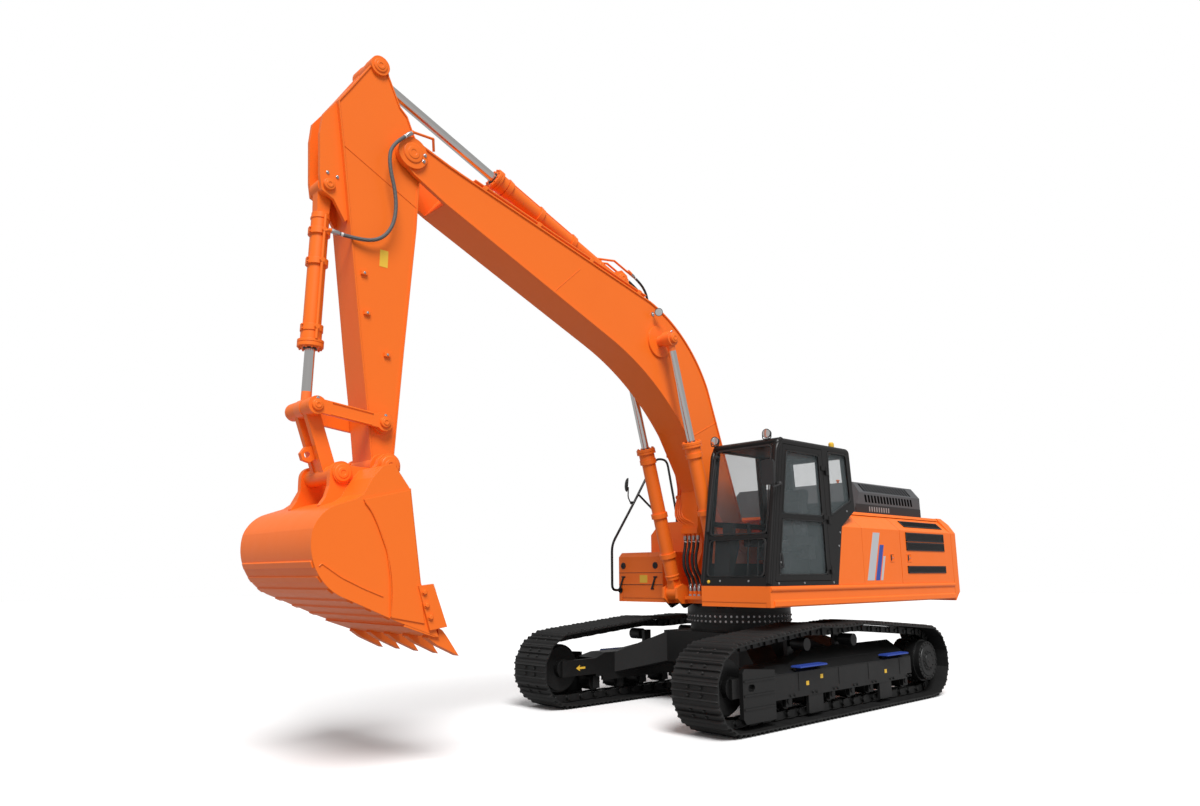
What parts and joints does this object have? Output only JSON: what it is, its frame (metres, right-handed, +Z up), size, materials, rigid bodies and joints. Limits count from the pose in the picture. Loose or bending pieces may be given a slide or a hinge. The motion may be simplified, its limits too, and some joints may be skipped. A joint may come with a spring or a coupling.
{
  "type": "crawler excavator",
  "caption": "Full-size crawler excavator with cab, engine house, boom, arm and bucket on hydraulic cylinders, standing on two tracks.",
  "frame": {"origin": "on the ground, at the middle of the machine's length in the pose of the part, 1.326 m ahead of the slewing axis", "axes": "+X to the front, where the boom points; +Y to the left, the cab side; +Z up"},
  "size_m": [9.6337, 3.2912, 6.53],
  "materials": {
    "orange_paint": "satin",
    "black_paint": "satin",
    "grey_paint": "satin",
    "track_steel": "matte",
    "chrome": "polished",
    "glass": "clear",
    "rubber": "matte",
    "seat_fabric": "woven",
    "dark_plastic": "grained",
    "tooth_steel": "satin"
  },
  "bodies": {
    "undercarriage": {"track_left": "track_steel", "track_right": "track_steel", "track_frame_left": "black_paint", "track_frame_right": "black_paint", "idlers": "black_paint", "sprockets": "black_paint", "rollers": "black_paint", "car_body": "black_paint"},
    "upper": {"main_frame": "black_paint", "skirts": "orange_paint", "cab_shell": "black_paint", "cab_glass": "glass", "seat_base": "dark_plastic", "seat_cushion": "seat_fabric", "seat_back": "seat_fabric", "console": "dark_plastic", "left_front_panel": "orange_paint", "top_deck": "orange_paint", "fuel_tank": "orange_paint", "front_box": "orange_paint", "engine_block": "track_steel", "counterweight": "orange_paint", "handrail": "black_paint", "mirrors": "dark_plastic", "roof_lamps": "dark_plastic"},
    "cab_door_leaf": {"cab_door": "black_paint", "door_glass": "glass"},
    "left_front_leaf": {"left_front_door": "orange_paint"},
    "left_rear_leaf": {"left_rear_door": "orange_paint"},
    "right_front_leaf": {"right_front_door": "orange_paint"},
    "right_rear_leaf": {"right_rear_door": "orange_paint"},
    "hood_leaf": {"hood": "grey_paint"},
    "boom_group": {"boom": "orange_paint", "boom_lines": "orange_paint", "boom_lamp": "dark_plastic", "main_hose_1": "rubber", "main_hose_2": "rubber", "main_hose_3": "rubber", "main_hose_4": "rubber", "crowd_hose_1": "rubber", "crowd_hose_2": "rubber"},
    "lift_barrel_pair": {"lift_barrels": "orange_paint"},
    "lift_rod_pair": {"lift_rods": "chrome"},
    "crowd_barrel_body": {"crowd_barrel": "orange_paint"},
    "crowd_rod_body": {"crowd_rod": "chrome"},
    "arm_group": {"arm": "orange_paint", "tip_hose": "rubber"},
    "curl_barrel_body": {"curl_barrel": "orange_paint"},
    "curl_rod_body": {"curl_rod": "chrome"},
    "side_link_pair": {"side_links": "orange_paint"},
    "bucket_link_body": {"bucket_link": "orange_paint"},
    "bucket_group": {"bucket": "orange_paint", "bucket_teeth": "orange_paint"}
  },
  "joints": [
    {"name": "slew", "type": "hinge", "parent": "undercarriage", "child": "upper", "pos_m": [-1.326, 0, 1.11], "axis": [0, 0, 1], "continuous": true},
    {"name": "boom_lift", "type": "hinge", "parent": "upper", "child": "boom_group", "pos_m": [-1.106, 0, 2], "axis": [0, -1, 0], "range_deg": [-83, 26], "deforming": ["main_hose_1", "main_hose_2", "main_hose_3", "main_hose_4"]},
    {"name": "lift_barrel_tilt", "type": "hinge", "parent": "upper", "child": "lift_barrel_pair", "pos_m": [-0.546, 0, 1.35], "axis": [0, -1, 0], "range_deg": [-81.5, 26]},
    {"name": "lift_rod_slide", "type": "slide", "parent": "lift_barrel_pair", "child": "lift_rod_pair", "axis": [0.2739, 0, 0.9618], "range_m": [-1.1, 0.345]},
    {"name": "arm_swing", "type": "hinge", "parent": "boom_group", "child": "arm_group", "pos_m": [3.804, 0, 5.62], "axis": [0, 1, 0], "range_deg": [-84, 30], "deforming": ["tip_hose", "crowd_hose_1", "crowd_hose_2"]},
    {"name": "crowd_barrel_tilt", "type": "hinge", "parent": "boom_group", "child": "crowd_barrel_body", "pos_m": [0.874, 0, 5.07], "axis": [0, 1, 0], "range_deg": [-8, 3]},
    {"name": "crowd_rod_slide", "type": "slide", "parent": "crowd_barrel_body", "child": "crowd_rod_body", "axis": [0.9244, 0, 0.3815], "range_m": [-1.055, 0.38]},
    {"name": "bucket_curl", "type": "hinge", "parent": "arm_group", "child": "bucket_group", "pos_m": [3.954, 0, 2.53], "axis": [0, 1, 0], "range_deg": [-55, 120]},
    {"name": "side_link_tilt", "type": "hinge", "parent": "arm_group", "child": "side_link_pair", "pos_m": [3.9696, 0, 2.9299], "axis": [0, 1, 0], "range_deg": [-35, 75]},
    {"name": "bucket_link_tilt", "type": "hinge", "parent": "bucket_group", "child": "bucket_link_body", "pos_m": [4.3952, 0, 2.4329], "axis": [0, -1, 0], "range_deg": [-35, 75]},
    {"name": "curl_barrel_tilt", "type": "hinge", "parent": "arm_group", "child": "curl_barrel_body", "pos_m": [4.5836, 0, 5.0701], "axis": [0, 1, 0], "range_deg": [-2, 3]},
    {"name": "curl_rod_slide", "type": "slide", "parent": "curl_barrel_body", "child": "curl_rod_body", "axis": [0.0131, 0, -0.9999], "range_m": [-0.345, 0.75]},
    {"name": "cab_door_swing", "type": "hinge", "parent": "upper", "child": "cab_door_leaf", "pos_m": [-1.179, 1.502, 2.2], "axis": [0, 0, 1], "range_deg": [0, 110]},
    {"name": "left_front_swing", "type": "hinge", "parent": "upper", "child": "left_front_leaf", "pos_m": [-1.92, 1.49, 1.8], "axis": [0, 0, -1], "range_deg": [0, 100]},
    {"name": "left_rear_swing", "type": "hinge", "parent": "upper", "child": "left_rear_leaf", "pos_m": [-4.342, 1.49, 1.8], "axis": [0, 0, 1], "range_deg": [0, 100]},
    {"name": "right_front_swing", "type": "hinge", "parent": "upper", "child": "right_front_leaf", "pos_m": [-2.23, -1.49, 1.8], "axis": [0, 0, 1], "range_deg": [0, 100]},
    {"name": "right_rear_swing", "type": "hinge", "parent": "upper", "child": "right_rear_leaf", "pos_m": [-4.342, -1.49, 1.8], "axis": [0, 0, -1], "range_deg": [0, 100]},
    {"name": "hood_lift", "type": "hinge", "parent": "upper", "child": "hood_leaf", "pos_m": [-2.526, 0, 2.345], "axis": [0, 1, 0], "range_deg": [0, 65]}
  ],
  "couplings": [
    {"joint": "lift_barrel_tilt", "follows": "boom_lift", "ratio": 0.975},
    {"joint": "lift_rod_slide", "follows": "boom_lift", "m_per_rad": 0.7563},
    {"joint": "crowd_barrel_tilt", "follows": "arm_swing", "ratio": 0.09},
    {"joint": "crowd_rod_slide", "follows": "arm_swing", "m_per_rad": 0.7162},
    {"joint": "side_link_tilt", "follows": "bucket_curl", "ratio": 0.62},
    {"joint": "bucket_link_tilt", "follows": "bucket_curl", "ratio": 0.62},
    {"joint": "curl_barrel_tilt", "follows": "bucket_curl", "ratio": 0.02},
    {"joint": "curl_rod_slide", "follows": "bucket_curl", "m_per_rad": 0.3552}
  ]
}
